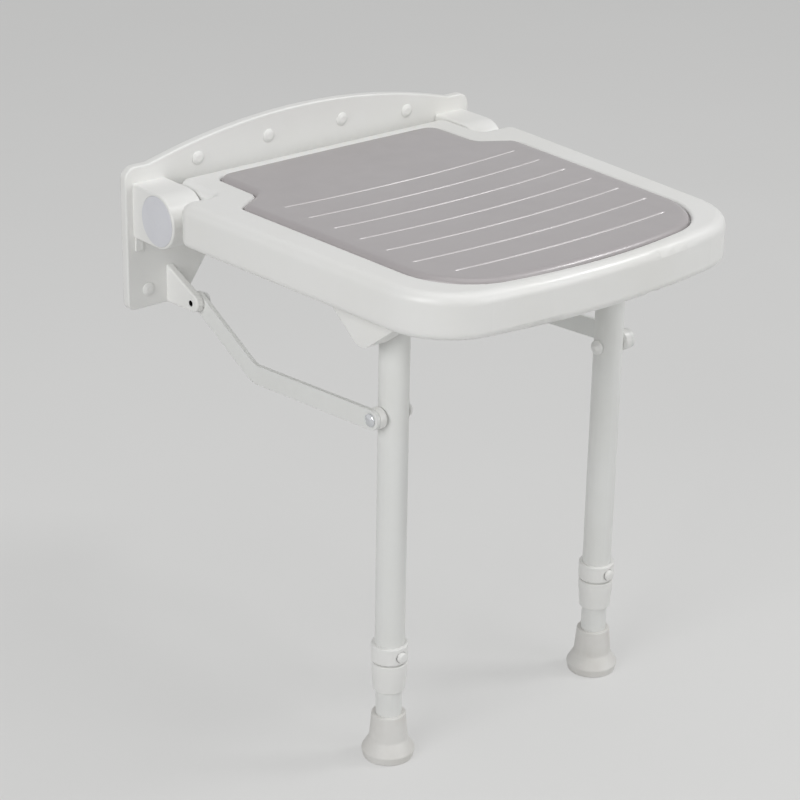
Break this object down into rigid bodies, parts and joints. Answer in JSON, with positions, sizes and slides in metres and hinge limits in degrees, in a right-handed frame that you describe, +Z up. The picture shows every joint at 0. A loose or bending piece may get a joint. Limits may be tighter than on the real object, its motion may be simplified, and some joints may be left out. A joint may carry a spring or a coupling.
{
  "type": "fold down wall seat",
  "caption": "Padded seat hinged on a wall plate, with telescopic legs and brace links that fold flat against the wall.",
  "frame": {"origin": "on the wall behind the plate, on the centre line, at the height of the seat's hinge axis", "axes": "+X to the right facing the wall, +Y into the wall, +Z up; the seat reaches out along -Y"},
  "size_m": [0.426, 0.4405, 0.5423],
  "materials": {
    "white_plastic": "satin moulded",
    "disc_plastic": "smooth",
    "bearing_plastic": "plain moulded",
    "seat_pad": "soft moulded pad, satin",
    "white_paint": "powder coated",
    "white_rubber": "matt",
    "steel": "zinc plated",
    "chrome": "polished"
  },
  "bodies": {
    "wall": {"wall_bracket": "white_plastic", "screw_caps_upper": "white_plastic", "screw_caps_lower": "white_plastic", "hinge_cap_left": "disc_plastic", "hinge_pin_left": "steel", "hinge_clip_left": "steel", "link_rivet_left": "white_paint", "link_washer_left": "white_plastic", "hinge_cap_right": "disc_plastic", "hinge_pin_right": "steel", "hinge_clip_right": "steel", "link_rivet_right": "white_paint", "link_washer_right": "white_plastic"},
    "seat": {"seat_frame": "white_plastic", "seat_base_panel": "white_plastic", "seat_cushion": "seat_pad", "panel_screws": "steel", "bracket_screws": "steel", "hinge_bush_left": "bearing_plastic", "leg_bracket_left": "white_plastic", "leg_pivot_pin_left": "steel", "pivot_washers_left": "steel", "hinge_bush_right": "bearing_plastic", "leg_bracket_right": "white_plastic", "leg_pivot_pin_right": "steel", "pivot_washers_right": "steel"},
    "leg_left": {"leg_tube_left": "white_paint", "leg_top_plug_left": "bearing_plastic", "leg_sleeve_left": "white_plastic", "lock_ring_left": "white_plastic", "link_bolt_left": "chrome", "link_spacer_left": "white_plastic", "bolt_cap_left": "white_plastic"},
    "extension_left": {"inner_tube_left": "white_paint", "tube_guide_left": "bearing_plastic", "foot_left": "white_rubber"},
    "button_left": {"lock_button_left": "white_plastic"},
    "link_left": {"brace_link_left": "white_paint"},
    "leg_right": {"leg_tube_right": "white_paint", "leg_top_plug_right": "bearing_plastic", "leg_sleeve_right": "white_plastic", "lock_ring_right": "white_plastic", "link_bolt_right": "chrome", "link_spacer_right": "white_plastic", "bolt_cap_right": "white_plastic"},
    "extension_right": {"inner_tube_right": "white_paint", "tube_guide_right": "bearing_plastic", "foot_right": "white_rubber"},
    "button_right": {"lock_button_right": "white_plastic"},
    "link_right": {"brace_link_right": "white_paint"}
  },
  "joints": [
    {"name": "seat_fold", "type": "hinge", "parent": "wall", "child": "seat", "pos_m": [0, -0.047, 0], "axis": [-1, 0, 0], "range_deg": [0, 90]},
    {"name": "leg_swing_left", "type": "hinge", "parent": "seat", "child": "leg_left", "pos_m": [-0.1335, -0.3058, -0.0336], "axis": [-1, 0, 0], "range_deg": [-90, 0]},
    {"name": "link_swing_left", "type": "hinge", "parent": "wall", "child": "link_left", "pos_m": [-0.158, -0.047, -0.0895], "axis": [-1, 0, 0], "range_deg": [0, 90]},
    {"name": "leg_extension_left", "type": "slide", "parent": "leg_left", "child": "extension_left", "axis": [0, 0, -1], "range_m": [-0.025, 0.075]},
    {"name": "lock_button_press_left", "type": "slide", "parent": "leg_left", "child": "button_left", "axis": [0, 1, 0], "range_m": [0, 0.0026], "stiffness_N_per_m": 600, "springref_m": -0.001},
    {"name": "leg_swing_right", "type": "hinge", "parent": "seat", "child": "leg_right", "pos_m": [0.1335, -0.3058, -0.0336], "axis": [-1, 0, 0], "range_deg": [-90, 0]},
    {"name": "link_swing_right", "type": "hinge", "parent": "wall", "child": "link_right", "pos_m": [0.158, -0.047, -0.0895], "axis": [-1, 0, 0], "range_deg": [0, 90]},
    {"name": "leg_extension_right", "type": "slide", "parent": "leg_right", "child": "extension_right", "axis": [0, 0, -1], "range_m": [-0.025, 0.075]},
    {"name": "lock_button_press_right", "type": "slide", "parent": "leg_right", "child": "button_right", "axis": [0, 1, 0], "range_m": [0, 0.0026], "stiffness_N_per_m": 600, "springref_m": -0.001}
  ],
  "couplings": [
    {"joint": "leg_swing_left", "follows": "seat_fold", "ratio": -1},
    {"joint": "link_swing_left", "follows": "seat_fold", "ratio": 1},
    {"joint": "leg_swing_right", "follows": "seat_fold", "ratio": -1},
    {"joint": "link_swing_right", "follows": "seat_fold", "ratio": 1}
  ]
}
